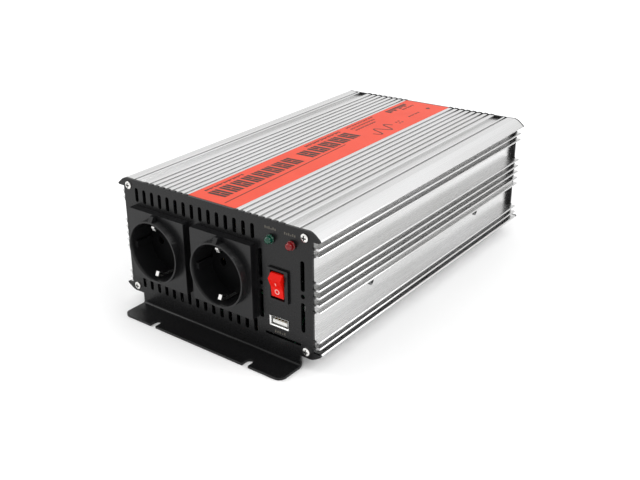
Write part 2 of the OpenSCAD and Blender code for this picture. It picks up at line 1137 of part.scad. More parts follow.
// Copper coil on a bobbin round each core's middle leg
module transformer_windings() {
    gap = 0.2;
    coil_w = core_leg + core_window[0] - gap;
    coil_h = core_window[1];
    color("chocolate")
        for (x = transformer_xs)
            translate([x, transformer_y, board_top + (core_h - coil_h) / 2])
                linear_extrude(coil_h)
                    difference() {
                        rounded_2d(2 * coil_w, core_d + 2 * core_window[0], 4);
                        square([2 * (core_leg + gap), core_d + 2 * gap], center = true);
                    }
}

module can_capacitor(r, h) {
    cylinder(r = r, h = h);
    translate([0, 0, h - eps])
        cylinder(r = r - 1, h = 0.6);
}

module input_capacitors() {
    color("midnightblue")
        for (i = [-2.5 : 1 : 2.5])
            translate([i * 19, input_cap_y, board_top])
                can_capacitor(8, 30);
}

module bus_capacitors() {
    color([0.1, 0.1, 0.12])
        for (side = [-1, 1])
            translate([side * 16, bus_cap_y, board_top])
                can_capacitor(12.5, 40);
}

module mosfet_places() {
    both_sides()
        for (row = mosfet_rows, i = [0 : row[1] - 1])
            translate([0, row[0] + i * mosfet_pitch, 0])
                children();
}

module mosfets() {
    color([0.12, 0.12, 0.12])
        mosfet_places() {
            translate([mosfet_x - mosfet_body[0], -mosfet_body[1] / 2, mosfet_z])
                cube(mosfet_body);
            for (i = [-1, 0, 1])
                translate([mosfet_x - mosfet_leg_x, i * 2.54 - 0.4, board_top])
                    cube([0.6, 0.8, mosfet_z - board_top + 0.5]);
        }
}

// Spans of the transistor rows along the case
function row_y0(row) = row[0] - mosfet_pitch / 2;
function row_l(row) = row[1] * mosfet_pitch;

module thermal_strips() {
    color("lightsteelblue")
        both_sides()
            for (i = [0, 1])
                difference() {
                    translate([mosfet_x, row_y0(mosfet_rows[i]), mosfet_z - 0.5])
                        cube([inner_x - mosfet_x, row_l(mosfet_rows[i]), mosfet_body[2]]);
                    translate([mosfet_x - 1, side_screw_ys[1 - i], side_screw_z])
                        rotate([0, 90, 0])
                            cylinder(r = 1.8, h = 3, $fn = 32);
                }
}

module clamp_bars() {
    color("gray")
        both_sides()
            for (i = [0, 1])
                difference() {
                    translate([bar_x - bar_t, row_y0(mosfet_rows[i]), side_screw_z - bar_h / 2])
                        cube([bar_t, row_l(mosfet_rows[i]), bar_h]);
                    translate([bar_x - bar_t - 1, side_screw_ys[1 - i], side_screw_z])
                        rotate([0, 90, 0])
                            cylinder(r = 1.55, h = bar_t + 2, $fn = 32);
                }
}

// Copper bars from the studs down to the board
module busbars() {
    y0 = sheet_t + 6.5;
    t = 1.5;
    color("peru")
        for (x = terminal_xs)
            at_rear()
                translate([x, 0, 0])
                    difference() {
                        union() {
                            translate([-6, y0, board_top])
                                cube([12, t, mid_z + 7 - board_top]);
                            translate([-6, y0, board_top])
                                cube([12, 26, t]);
                        }
                        translate([0, 0, mid_z])
                            peg(stud_r + 0.1, y0 - 1, y0 + t + 1);
                    }
}

// Blade fuses in a row in front of the input capacitors
module fuses() {
    color("orange")
        for (i = [-1.5 : 1 : 1.5])
            translate([i * 24 - 9.5, input_cap_y - 18, board_top])
                cube([19, 5, 12]);
}

module output_choke() {
    color("darkgoldenrod")
        translate([0, -72, board_top + 6.5])
            rotate_extrude($fn = fine)
                translate([13, 0])
                    circle(6.5, $fn = 32);
}

// Upright board with the two control chips
module control_board() {
    color("darkgreen")
        translate([34, -92, board_top])
            cube([board_t, 46, 34]);
    color([0.1, 0.1, 0.1])
        for (y = [-84, -62])
            translate([34 + board_t - eps, y, board_top + 14])
                cube([2.4, 10, 8]);
}

module buzzer() {
    color([0.1, 0.1, 0.1])
        translate([-44, -88, board_top])
            difference() {
                cylinder(r = 6, h = 8);
                translate([0, 0, 7])
                    cylinder(r = 1.2, h = 2);
            }
}

upper_shell();
lower_shell();
front_panel();
rear_panel();
top_label();
front_panel_screws();
rear_panel_screws();
side_screws();
socket_left();
socket_right();
socket_insert_left();
socket_insert_right();
earth_clips_left();
earth_clips_right();
socket_contacts_left();
socket_contacts_right();
switch_housing();
switch_rocker();
switch_terminals();
power_led();
fault_led();
led_collars();
usb_shell();
usb_tongue();
usb_contacts();
usb_board();
fan_frame();
fan_rotor();
fan_guard();
fan_screws();
fan_nuts();
terminal_base_positive();
terminal_base_negative();
terminal_studs();
terminal_insulators();
stud_nuts();
washer_positive();
washer_negative();
knob_positive();
knob_negative();
earth_screw();
earth_nut();
main_board();
transformer_cores();
transformer_windings();
input_capacitors();
bus_capacitors();
mosfets();
thermal_strips();
clamp_bars();
busbars();
fuses();
output_choke();
control_board();
buzzer();
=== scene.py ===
"""Looks of the power inverter: finishes, printed and moulded detail, a pale studio and the camera."""

import json
import math

import bmesh
import bpy
from mathutils import Matrix, Vector


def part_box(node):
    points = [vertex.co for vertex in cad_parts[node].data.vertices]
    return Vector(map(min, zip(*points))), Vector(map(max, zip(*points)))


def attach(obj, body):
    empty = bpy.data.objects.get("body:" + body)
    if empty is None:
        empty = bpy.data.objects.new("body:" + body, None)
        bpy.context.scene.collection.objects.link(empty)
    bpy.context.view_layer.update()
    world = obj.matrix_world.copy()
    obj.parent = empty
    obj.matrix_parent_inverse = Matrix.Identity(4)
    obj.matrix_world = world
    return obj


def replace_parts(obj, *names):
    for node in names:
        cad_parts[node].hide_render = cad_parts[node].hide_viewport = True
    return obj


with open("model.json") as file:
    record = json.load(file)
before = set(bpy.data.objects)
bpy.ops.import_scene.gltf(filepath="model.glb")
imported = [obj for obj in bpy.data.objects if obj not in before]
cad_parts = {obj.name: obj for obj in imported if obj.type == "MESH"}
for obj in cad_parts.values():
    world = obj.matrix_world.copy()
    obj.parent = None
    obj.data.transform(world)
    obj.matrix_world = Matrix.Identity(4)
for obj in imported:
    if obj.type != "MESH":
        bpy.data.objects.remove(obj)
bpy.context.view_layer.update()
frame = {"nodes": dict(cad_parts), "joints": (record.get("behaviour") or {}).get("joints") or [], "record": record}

MM = 0.001

# Camera: place in metres, angles in degrees, lens in mm on a 36 mm sensor
CAMERA_AT = (0.3507, -0.4929, 0.2939)
CAMERA_AZIMUTH = 40.344
CAMERA_ELEVATION = 23.194
CAMERA_ROLL = -1.96
CAMERA_LENS = 49.91
CAMERA_SHIFT = (0.0862, -0.0298)

# Print on the label, in millimetres from the middle of the case: x across, y along
PRINT_LIFT = 0.02
PRINT_T = 0.03
BLOCK_X = (-11.7, 2.4)
BLOCK_SLIT = 0.9
BLOCK_SLANT = 1.1
# Each group of blocks: where it starts, how many blocks, and their pitch
BLOCK_GROUPS = ((-121.0, 8, 10.4), (-30.5, 5, 12.3))
BLOCK_FILL = 0.86
BARS_PER_BLOCK = 3
BAR_FILL = 0.74
RULE_SPAN = (-127.0, 6.0)
RULE_X = (8.2, 4.6)
RULE_W = 0.75
# Ticks fill this share of their pitch; some are cut to a share of the row's height, in this turn
TICK_FILL = 0.62
TICK_HEIGHTS = (1.0, 0.8, 1.0, 0.55)
# Rows of ticks: x, height, first and last y, count
CAPTION = (-15.2, 2.4, -119.0, -82.0, 17)
SECOND_CAPTION = (-15.8, 2.6, -14.0, 29.0, 19)
LINES = (
    (-16.5, 1.8, 38.0, 75.0, 20),
    (-12.1, 1.8, 38.0, 70.0, 19),
    (-7.7, 1.8, 38.0, 65.0, 18),
)
MODEL = (-13.4, 6.0, 91.0, 120.0, 8, 0.7)
MODEL_NOTE = (-7.6, 1.8, 104.0, 121.0, 9)
RATINGS = (6.6, 1.6, 90.0, 106.0, 7)
# The wave: its middle x, swing, first and last y, number of waves and line width
WAVE = (7.5, 6.0, 38.0, 65.0, 2, 1.1)
WAVE_STEPS = 20
DOT_SIZE = 1.6
DOT_X = (5.2, 8.8)
DOT_Y = (71.5, 75.0)
DIAMOND = ((5.0, 118.5), (7.0, 116.5), (9.0, 118.5), (7.0, 120.5))

# Print on the two panels, in millimetres: first and last x, height over the floor, count of marks
FRONT_MARKS = ((43.4, 52.4, 87.3, 6), (58.0, 66.8, 86.8, 6), (49.0, 57.8, 19.4, 5))
FRONT_MARK_H = 1.7
SHEET_T = 1.6
TERMINAL_X = (50.0, 22.0)
TERMINAL_MARK_Z = 66.5
SIGN_REACH = 2.6
SIGN_HALF_W = 0.45
# The earth sign: its screw's place, its foot and top above the screw, and its three bars
EARTH_AT = (64.0, 25.0)
EARTH_SPAN = (9.0, 12.0)
EARTH_BARS = (2.6, 1.7, 0.8)
EARTH_BAR_PITCH = 1.2
EARTH_LINE_W = 0.5

# Cross recesses of the screws, in millimetres: side faced, head radius, recess depth, arm length and width
SCREW_HEADS = {
    "front_panel_screws": (-1, 2.6, 1.15, 3.1, 0.9),
    "rear_panel_screws": (1, 2.6, 1.15, 3.1, 0.9),
    "fan_screws": (1, 3.6, 1.58, 4.3, 1.2),
}
RECESS_FILL = 0.5

# The ring moulded on a battery knob's end: inner and outer radius, height, easing and how deep it is sunk
KNOB_RING = (5.1, 5.9, 0.4, 0.15, 0.2)

# Lamps, in millimetres: radius, and the depths behind the dome's tip of the flange, its back and the leads
LAMP_R = 2.5
LAMP_FLANGE_R = 2.9
LAMP_DEPTHS = (3.7, 4.5, 9.9, 18.8)
DOME_STEPS = 12
# The reflector cup as (radius, depth), and the two leads: places, half width and first depth
CUP = ((0.0, 3.4), (0.5, 3.4), (0.8, 2.7), (1.15, 2.6), (1.15, 4.2), (0.0, 4.2))
LEAD_X = (-1.27, 1.27)
LEAD_HALF_W = 0.25
LEAD_FROM = 4.0

# Rocker, in millimetres from its pivot: half width and reach of its face, and the dip between its halves
ROCKER_FACE = (6.6, 5.9)
ROCKER_DIP = 0.9
# Its marks, by the distance from the valley: the bar's outline, and the ring's centre and radii
ROCKER_BAR = (-0.25, 1.9, 0.25, 3.9)
ROCKER_RING_AT = (0.0, 2.8)
ROCKER_RING_R = (1.25, 1.7)
ROCKER_MARK_T = 0.06

# Tape round the coils, in millimetres: half sizes, corner radius, heights over the board, inner and outer face
COIL_X = (-42.0, 0.0, 42.0)
TAPE_HALF = (13.8, 19.0)
TAPE_CORNER = 4.0
TAPE_Z = (13.0, 27.0)
TAPE_GAP = 0.02
TAPE_T = 0.12
# Capacitor tops: x of each can, their y, and the radius of the bare disc
CAN_TOPS = {
    "input_capacitors": ([19.0 * (i - 2.5) for i in range(6)], 84.0, 6.6),
    "bus_capacitors": ((-16.0, 16.0), -34.0, 11.0),
}
# Resistors on the board: the first one's place, the pitches, the counts and the axis's height
RESISTOR_AT = (44.0, -84.0)
RESISTOR_PITCH = (4.5, 11.0)
RESISTOR_COUNT = (4, 6)
RESISTOR_Z = 1.3
# One resistor's turned shape as (radius, place along it)
RESISTOR = (
    (0.0, -3.2), (0.9, -3.1), (1.15, -2.6), (1.1, -1.9), (0.9, -1.4),
    (0.9, 1.4), (1.1, 1.9), (1.15, 2.6), (0.9, 3.1), (0.0, 3.2),
)
STICKER_R = (0.6, 9.6)
STICKER_T = 0.05

# Studio: half the floor's width and its drop under the feet, in metres
FLOOR_REACH = 12.0
FLOOR_DROP = 0.0002


# ---------------------------------------------------------------- materials


# Sockets of a Mix node set to colour: its two inputs and its result
MIX_COLOURS = (6, 7)
MIX_RESULT = 2


class Finish:
    """A node material under construction. Lengths of a pattern are given in millimetres."""

    def __init__(self, name, colour, metallic=0.0, roughness=0.5, **sockets):
        self.material = bpy.data.materials.new(name)
        self.material.use_nodes = True
        tree = self.material.node_tree
        self.nodes, self.links = tree.nodes, tree.links
        self.nodes.clear()
        output = self.nodes.new("ShaderNodeOutputMaterial")
        self.shader = self.nodes.new("ShaderNodeBsdfPrincipled")
        self.links.new(self.shader.outputs["BSDF"], output.inputs["Surface"])
        self.shader.inputs["Base Color"].default_value = (*colour, 1.0)
        self.shader.inputs["Metallic"].default_value = metallic
        self.shader.inputs["Roughness"].default_value = roughness
        for socket, value in sockets.items():
            self.shader.inputs[socket.replace("_", " ")].default_value = value
        self.place = self.nodes.new("ShaderNodeTexCoord").outputs["Object"]
        self.heights = []

    def pattern(self, kind, sizes):
        """A texture node of that kind on coordinates divided by the three sizes."""
        mapping = self.nodes.new("ShaderNodeMapping")
        mapping.inputs["Scale"].default_value = [1.0 / (size * MM) for size in sizes]
        texture = self.nodes.new(kind)
        texture.inputs["Scale"].default_value = 1.0
        self.links.new(self.place, mapping.inputs["Vector"])
        self.links.new(mapping.outputs["Vector"], texture.inputs["Vector"])
        return texture

    def noise(self, grain, detail=2.0, rough=0.5):
        """Noise whose features are about grain long: one number, or one for each axis."""
        sizes = (grain,) * 3 if isinstance(grain, (int, float)) else grain
        texture = self.pattern("ShaderNodeTexNoise", sizes)
        texture.inputs["Detail"].default_value = detail
        texture.inputs["Roughness"].default_value = rough
        return texture.outputs["Fac"]

    def stripes(self, pitch, axis="Z", shake=0.0):
        """Even stripes across one axis, such as windings."""
        texture = self.pattern("ShaderNodeTexWave", (pitch,) * 3)
        texture.bands_direction = axis
        texture.inputs["Scale"].default_value = 0.31
        texture.inputs["Distortion"].default_value = shake
        return texture.outputs["Fac"]

    def spread(self, value, low, high, out_low, out_high):
        """value, taken from the range low..high to out_low..out_high."""
        node = self.nodes.new("ShaderNodeMapRange")
        for socket, number in zip(
            ("From Min", "From Max", "To Min", "To Max"), (low, high, out_low, out_high)
        ):
            node.inputs[socket].default_value = number
        self.links.new(value, node.inputs["Value"])
        return node.outputs["Result"]

    def blend(self, factor, first, second):
        """A colour between the two, by factor."""
        node = self.nodes.new("ShaderNodeMix")
        node.data_type = "RGBA"
        self.links.new(factor, node.inputs["Factor"])
        for slot, colour in zip(MIX_COLOURS, (first, second)):
            node.inputs[slot].default_value = (*colour, 1.0)
        return node.outputs[MIX_RESULT]

    def tint(self, value, low, high, first, second):
        """The base colour goes from first to second as value goes from low to high."""
        self.colour(self.blend(self.spread(value, low, high, 0.0, 1.0), first, second))

    def colour(self, socket):
        self.links.new(socket, self.shader.inputs["Base Color"])

    def roughness(self, value, low, high):
        self.links.new(self.spread(value, 0.25, 0.75, low, high), self.shader.inputs["Roughness"])

    def relief(self, value, depth, strength=1.0):
        """Adds a bump of that depth in millimetres. Later calls stack on earlier ones."""
        node = self.nodes.new("ShaderNodeBump")
        node.inputs["Strength"].default_value = strength
        node.inputs["Distance"].default_value = depth * MM
        self.links.new(value, node.inputs["Height"])
        if self.heights:
            self.links.new(self.heights[-1], node.inputs["Normal"])
        self.heights.append(node.outputs["Normal"])
        self.links.new(node.outputs["Normal"], self.shader.inputs["Normal"])


def anodised_extrusion():
    """Satin aluminium with the fine lines that the die leaves along the case."""
    f = Finish("anodised_extrusion", (0.68, 0.68, 0.675), 1.0, 0.27)
    lines = f.noise((0.22, 90.0, 0.22), detail=2.0)
    tone = f.noise((30.0, 120.0, 30.0), detail=1.0)
    grain = f.noise(0.08, detail=1.0)
    f.tint(tone, 0.3, 0.7, (0.67, 0.67, 0.665), (0.71, 0.71, 0.71))
    f.roughness(lines, 0.25, 0.3)
    f.relief(lines, 0.0014, 0.5)
    f.relief(grain, 0.0012, 0.4)
    return f.material


def rubbed_edge():
    """Aluminium polished by handling, on the case's cut edges."""
    f = Finish("rubbed_edge", (0.86, 0.86, 0.87), 1.0, 0.22)
    nicks = f.noise((0.3, 2.0, 0.3), detail=4.0, rough=0.7)
    f.tint(nicks, 0.4, 0.7, (0.88, 0.88, 0.89), (0.7, 0.7, 0.71))
    f.roughness(nicks, 0.16, 0.34)
    f.relief(nicks, 0.01, 0.4)
    return f.material


def powder_coat(name="powder_coat", colour=(0.004, 0.004, 0.0043), specular=0.28, roughness=0.27):
    """Black powder coat on steel, with its slight orange peel."""
    f = Finish(name, colour, 0.0, roughness, Specular_IOR_Level=specular)
    peel = f.noise(0.55, detail=2.0)
    speck = f.noise(0.12, detail=1.0)
    lighter = tuple(c * 1.6 for c in colour)
    f.tint(speck, 0.35, 0.7, colour, lighter)
    f.roughness(peel, roughness - 0.05, roughness + 0.07)
    f.relief(peel, 0.012, 0.5)
    f.relief(speck, 0.003, 0.4)
    return f.material


def moulded(name, colour, roughness=0.4, grain=0.16, depth=0.003, coat=0.0, specular=0.4):
    """Moulded plastic with a fine spark-eroded grain and a faint flow tone."""
    f = Finish(
        name, colour, 0.0, roughness, Coat_Weight=coat, Coat_Roughness=0.15, Specular_IOR_Level=specular
    )
    texture = f.noise(grain, detail=2.0)
    flow = f.noise(14.0, detail=1.0)
    lighter = tuple(min(1.0, c * 1.15 + 0.001) for c in colour)
    f.tint(flow, 0.3, 0.7, colour, lighter)
    f.roughness(texture, roughness - 0.06, roughness + 0.06)
    f.relief(texture, depth, 0.6)
    return f.material


def metal(name, colour, roughness=0.25, grain=(0.1, 0.1, 0.1), depth=0.001, tarnish=0.0):
    """Bare or plated metal with fine marks and, where asked, some tarnish."""
    f = Finish(name, colour, 1.0, roughness)
    marks = f.noise(grain, detail=3.0)
    patches = f.noise(4.0, detail=3.0)
    dull = tuple(c * (1.0 - tarnish) for c in colour)
    f.tint(patches, 0.4, 0.65, colour, dull)
    f.roughness(marks, max(0.05, roughness - 0.08), roughness + 0.08)
    f.relief(marks, depth, 0.5)
    return f.material


def label_film():
    """Printed polyester film, stuck down, with a faint stipple."""
    f = Finish("label_film", (0.67, 0.056, 0.024), 0.0, 0.42, Specular_IOR_Level=0.2)
    stipple = f.noise(0.25, detail=1.0)
    tone = f.noise(25.0, detail=2.0)
    f.tint(tone, 0.3, 0.7, (0.65, 0.054, 0.022), (0.7, 0.064, 0.028))
    f.roughness(stipple, 0.38, 0.48)
    f.relief(stipple, 0.003, 0.5)
    return f.material


def lamp(name, colour):
    """Tinted epoxy, clear enough to show the cup inside."""
    f = Finish(name, colour, 0.0, 0.05, Transmission_Weight=0.35, IOR=1.48)
    cloud = f.noise(1.4, detail=2.0)
    darker = tuple(c * 0.5 for c in colour)
    f.tint(cloud, 0.3, 0.7, darker, colour)
    return f.material


def circuit_board():
    """Green solder mask over tracks, with bare pads."""
    f = Finish("circuit_board", (0.01, 0.12, 0.05), 0.0, 0.3, Coat_Weight=0.3)
    tracks = f.noise((1.6, 7.0, 1.6), detail=0.0)
    weave = f.noise(0.4, detail=1.0)
    f.tint(tracks, 0.47, 0.5, (0.008, 0.09, 0.04), (0.02, 0.19, 0.08))
    f.roughness(weave, 0.25, 0.38)
    f.relief(tracks, 0.03, 0.4)
    return f.material


def winding(name, colour, pitch, axis):
    """Varnished wire, wound in even turns."""
    f = Finish(name, colour, 0.7, 0.3, Coat_Weight=0.5)
    turns = f.stripes(pitch, axis, shake=0.4)
    # The darker bands are painted shade in the creases between the turns
    darker = tuple(c * 0.35 for c in colour)
    f.colour(f.blend(turns, darker, colour))
    f.relief(turns, 0.25, 0.8)
    return f.material


def print_ink(name, colour, roughness=0.5):
    """Screen-printed ink, slightly uneven."""
    f = Finish(name, colour, 0.0, roughness, Specular_IOR_Level=0.25)
    cover = f.noise(0.6, detail=3.0)
    thin = tuple(min(1.0, c * 1.35 + 0.01) for c in colour)
    f.tint(cover, 0.45, 0.75, colour, thin)
    return f.material


FINISHES = {
    "case_aluminium": anodised_extrusion(),
    "panel_black": powder_coat(),
    "label_film": label_film(),
    "screw_nickel": metal("screw_nickel", (0.82, 0.81, 0.79), 0.2),
    "socket_black": moulded("socket_black", (0.0055, 0.0055, 0.006), 0.29, 0.2, 0.004, specular=0.32),
    # insert_black is darker and less glossy than socket_black: painted shade deep in the socket wells
    "insert_black": moulded("insert_black", (0.0018, 0.0018, 0.002), 0.5, 0.2, 0.004, specular=0.07),
    "screw_black": metal("screw_black", (0.17, 0.175, 0.175), 0.35),
    "spring_nickel": metal("spring_nickel", (0.93, 0.92, 0.9), 0.28, (0.5, 0.05, 0.05)),
    "contact_brass": metal("contact_brass", (0.72, 0.5, 0.2), 0.3, (0.1, 0.6, 0.1), tarnish=0.25),
    # Gold contacts: their own colour, darkened with painted shade from the port's shell over them
    "contact_gold": metal("contact_gold", (0.5, 0.36, 0.14), 0.25),
    "switch_black": moulded("switch_black", (0.0035, 0.0035, 0.004), 0.28, 0.3, 0.002, specular=0.3),
    "rocker_red": moulded("rocker_red", (0.66, 0.006, 0.002), 0.26, 0.3, 0.0015, specular=0.12),
    "led_green": lamp("led_green", (0.001, 0.09, 0.05)),
    "led_red": lamp("led_red", (0.3, 0.002, 0.004)),
    "usb_nickel": metal("usb_nickel", (0.78, 0.78, 0.77), 0.18),
    "usb_white": moulded("usb_white", (0.78, 0.78, 0.75), 0.35, 0.2, 0.002),
    "board_green": circuit_board(),
    "fan_black": moulded("fan_black", (0.008, 0.008, 0.009), 0.42, 0.25, 0.005),
    "guard_wire": metal("guard_wire", (0.72, 0.72, 0.72), 0.2),
    "terminal_red": moulded("terminal_red", (0.5, 0.008, 0.006), 0.3, 0.3, 0.002, coat=0.2),
    "terminal_black": moulded("terminal_black", (0.007, 0.007, 0.008), 0.3, 0.3, 0.002, coat=0.2),
    "ferrite": moulded("ferrite", (0.035, 0.035, 0.04), 0.55, 0.5, 0.02),
    "coil_copper": winding("coil_copper", (0.6, 0.24, 0.1), 1.1, "Z"),
    "capacitor_sleeve": moulded("capacitor_sleeve", (0.012, 0.02, 0.07), 0.3, 0.8, 0.004, coat=0.4),
    "chip_black": moulded("chip_black", (0.018, 0.018, 0.018), 0.55, 0.12, 0.006),
    "thermal_pad": moulded("thermal_pad", (0.35, 0.42, 0.52), 0.7, 0.3, 0.01),
    "bar_aluminium": metal("bar_aluminium", (0.7, 0.7, 0.72), 0.38, (0.15, 8.0, 0.15), 0.003),
    "bar_copper": metal("bar_copper", (0.8, 0.4, 0.24), 0.32, (0.15, 4.0, 0.15), 0.002, tarnish=0.4),
    "fuse_orange": moulded("fuse_orange", (0.85, 0.2, 0.015), 0.25, 0.4, 0.002, coat=0.3),
    "choke_core": winding("choke_core", (0.62, 0.3, 0.12), 1.3, "X"),
}
RUBBED_EDGE = rubbed_edge()
# Painted highlight: the panels' eased edges get a lighter, glossier copy of the black powder coat
COAT_EDGE_HIGHLIGHT = powder_coat("powder_coat_edge_highlight", (0.012, 0.012, 0.013), 0.45, 0.26)
INK_DARK = print_ink("ink_dark", (0.012, 0.014, 0.009))
INK_LIGHT = print_ink("ink_light", (0.7, 0.66, 0.62))
INK_ROCKER = print_ink("ink_rocker", (0.85, 0.55, 0.5))
INK_GREY = print_ink("ink_grey", (0.085, 0.078, 0.065))
# Painted shade: a dark, dull plastic for plates laid in screw recesses and on capacitor scores
PAINTED_RECESS_SHADE = moulded("painted_recess_shade", (0.012, 0.011, 0.01), 0.7, 0.2, 0.004, specular=0.15)
COIL_TAPE = moulded("coil_tape", (0.75, 0.5, 0.04), 0.3, 2.0, 0.01, coat=0.3)
RESISTOR_BODY = moulded("resistor_body", (0.5, 0.36, 0.2), 0.4, 0.5, 0.004, coat=0.3)
STICKER = moulded("hub_sticker", (0.55, 0.56, 0.58), 0.35, 0.4, 0.002)

# How far each node's sharp edges are eased, in millimetres, and the finish of the eased strip
EASED = {
    "upper_shell": (0.22, RUBBED_EDGE),
    "lower_shell": (0.22, RUBBED_EDGE),
    "front_panel": (0.2, COAT_EDGE_HIGHLIGHT),
    "rear_panel": (0.2, COAT_EDGE_HIGHLIGHT),
    "socket_left": (0.35, None),
    "socket_right": (0.35, None),
    "socket_insert_left": (0.3, None),
    "socket_insert_right": (0.3, None),
    "switch_housing": (0.3, None),
    "switch_rocker": (0.35, None),
    "usb_shell": (0.1, None),
    "usb_tongue": (0.2, None),
    "terminal_base_positive": (0.5, None),
    "terminal_base_negative": (0.5, None),
    "knob_positive": (0.4, None),
    "knob_negative": (0.4, None),
    "earth_screw": (0.3, None),
    "fan_frame": (0.4, None),
    "front_panel_screws": (0.12, None),
    "rear_panel_screws": (0.12, None),
    "side_screws": (0.12, None),
    "fan_screws": (0.15, None),
    "earth_clips_left": (0.12, None),
    "earth_clips_right": (0.12, None),
    "transformer_cores": (0.5, None),
    "fuses": (0.6, None),
    "mosfets": (0.2, None),
    "clamp_bars": (0.2, None),
    "busbars": (0.15, None),
    "bus_capacitors": (0.6, None),
    "input_capacitors": (0.5, None),
}
EASE_ANGLE = 38.0
WELD_DISTANCE = 0.01


def paint_cad_nodes():
    """Gives every CAD node the finish of its slot in the record, and eases the sharp edges of the nodes listed in
    EASED.
    """
    for part in frame["record"]["subparts"]:
        node = frame["nodes"][part["node"]]
        node.data.materials.clear()
        node.data.materials.append(FINISHES[part["material_slot"]])
        if part["node"] in EASED:
            ease_edges(node, *EASED[part["node"]])


def ease_edges(node, width, strip):
    """Rounds the sharp edges by that width; strip is the finish of the rounding, where it differs."""
    weld = node.modifiers.new("weld", "WELD")
    weld.merge_threshold = WELD_DISTANCE * MM
    bevel = node.modifiers.new("ease", "BEVEL")
    bevel.limit_method = "ANGLE"
    bevel.angle_limit = math.radians(EASE_ANGLE)
    bevel.width = width * MM
    bevel.segments = 2
    bevel.harden_normals = True
    if strip:
        node.data.materials.append(strip)
        bevel.material = 1


# ---------------------------------------------------------------- mesh helpers


def mesh_object(name, build, material, body):
    """A new piece made by build(bm), in metres in the row frame, that rides on a CAD body."""
    bm = bmesh.new()
    build(bm)
    bmesh.ops.recalc_face_normals(bm, faces=bm.faces)
    mesh = bpy.data.meshes.new(name)
    bm.to_mesh(mesh)
    bm.free()
    obj = bpy.data.objects.new(name, mesh)
    bpy.context.collection.objects.link(obj)
    mesh.materials.append(material)
    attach(obj, body)
    return obj


def add_plate(bm, outline, to_world, thickness):
    """A flat plate of that thickness over a closed outline of (u, v) points; to_world(u, v, w) places it."""
    low = [bm.verts.new(to_world(u, v, 0.0)) for u, v in outline]
    high = [bm.verts.new(to_world(u, v, thickness)) for u, v in outline]
    bm.faces.new(low[::-1])
    bm.faces.new(high)
    for i in range(len(outline)):
        j = (i + 1) % len(outline)
        bm.faces.new((low[i], low[j], high[j], high[i]))


def box_outline(u0, v0, u1, v1, slant=0.0):
    """A rectangle, or with a slant one whose far side is shifted along v."""
    return [(u0, v0), (u1, v0 + slant), (u1, v1 + slant), (u0, v1)]


def cross_outline(u, v, reach, half):
    """A plus sign about (u, v)."""
    return [
        (u + a, v + b) for a, b in (
            (half, half), (half, reach), (-half, reach), (-half, half), (-reach, half), (-reach, -half),
            (-half, -half), (-half, -reach), (half, -reach), (half, -half), (reach, -half), (reach, half),
        )
    ]


def add_lathe(bm, profile, to_world, steps=40):
    """A smooth turned shape of (radius, depth) points; to_world(u, v, w) places it, with w the depth."""
    loops = []
    for radius, depth in profile:
        if radius == 0.0:
            loops.append([bm.verts.new(to_world(0.0, 0.0, depth))] * steps)
        else:
            turns = [2 * math.pi * i / steps for i in range(steps)]
            loops.append([
                bm.verts.new(to_world(radius * math.cos(a), radius * math.sin(a), depth)) for a in turns
            ])
    for first, second in zip(loops, loops[1:]):
        for i in range(steps):
            j = (i + 1) % steps
            corners = list(dict.fromkeys((first[i], first[j], second[j], second[i])))
            bm.faces.new(corners).smooth = True


def add_ring(bm, centre, radii, to_world, thickness, steps=32):
    """A flat ring about centre (u, v), between two radii."""
    loops = []
    for radius in radii:
        for height in (0.0, thickness):
            loops.append([
                bm.verts.new(to_world(
                    centre[0] + radius * math.cos(2 * math.pi * i / steps),
                    centre[1] + radius * math.sin(2 * math.pi * i / steps),
                    height,
                ))
                for i in range(steps)
            ])
    inner_low, inner_high, outer_low, outer_high = loops
    for first, second in (
        (inner_low, outer_low), (outer_low, outer_high), (outer_high, inner_high), (inner_high, inner_low)
    ):
        for i in range(steps):
            j = (i + 1) % steps
            bm.faces.new((first[i], first[j], second[j], second[i]))


def plates(name, outlines, to_world, thickness, material, body="case"):
    """One piece made of flat plates, one to each outline."""
    def build(bm):
        for outline in outlines:
            add_plate(bm, outline, to_world, thickness)
    return mesh_object(name, build, material, body)


# ---------------------------------------------------------------- print on the label


def block_bars():
    """Plain groups of slanted bars: the outer two are whole and the middle one is split."""
    low, high = BLOCK_X
    middle = (low + high) / 2
    slant = BLOCK_SLANT
    bars = []
    for start, count, pitch in BLOCK_GROUPS:
        bar_pitch = pitch * BLOCK_FILL / BARS_PER_BLOCK
        bar_w = bar_pitch * BAR_FILL
        for block in range(count):
            for i in range(BARS_PER_BLOCK):
                y = start + block * pitch + i * bar_pitch
                if i == 1:
                    far_y = y + slant / 2
                    bars.append(box_outline(low, y, middle - BLOCK_SLIT / 2, y + bar_w, slant / 2))
                    bars.append(box_outline(middle + BLOCK_SLIT / 2, far_y, high, far_y + bar_w, slant / 2))
                else:
                    bars.append(box_outline(low, y, high, y + bar_w, slant))
    return bars


def tick_row(x, size, y0, y1, count, fill=TICK_FILL):
    """A row of short ticks, some of them half height, by a fixed rule."""
    pitch = (y1 - y0) / count
    ticks = []
    for i in range(count):
        height = size * TICK_HEIGHTS[i % len(TICK_HEIGHTS)]
        y = y0 + i * pitch
        ticks.append(box_outline(x - size / 2, y, x - size / 2 + height, y + pitch * fill))
    return ticks


def wave_band(x_mid, swing, y0, y1, waves, width):
    """A ribbon along a sine wave, as one outline to each short stretch of it."""
    steps = WAVE_STEPS * waves
    edges = []
    for i in range(steps + 1):
        turn = 2 * math.pi * waves * i / steps
        x = x_mid + swing * math.sin(turn)
        y = y0 + (y1 - y0) * i / steps
        slope = Vector((swing * math.cos(turn) * 2 * math.pi * waves, y1 - y0)).normalized() * width / 2
        edges.append(((x - slope.y, y + slope.x), (x + slope.y, y - slope.x)))
    return [[a[0], a[1], b[1], b[0]] for a, b in zip(edges, edges[1:])]


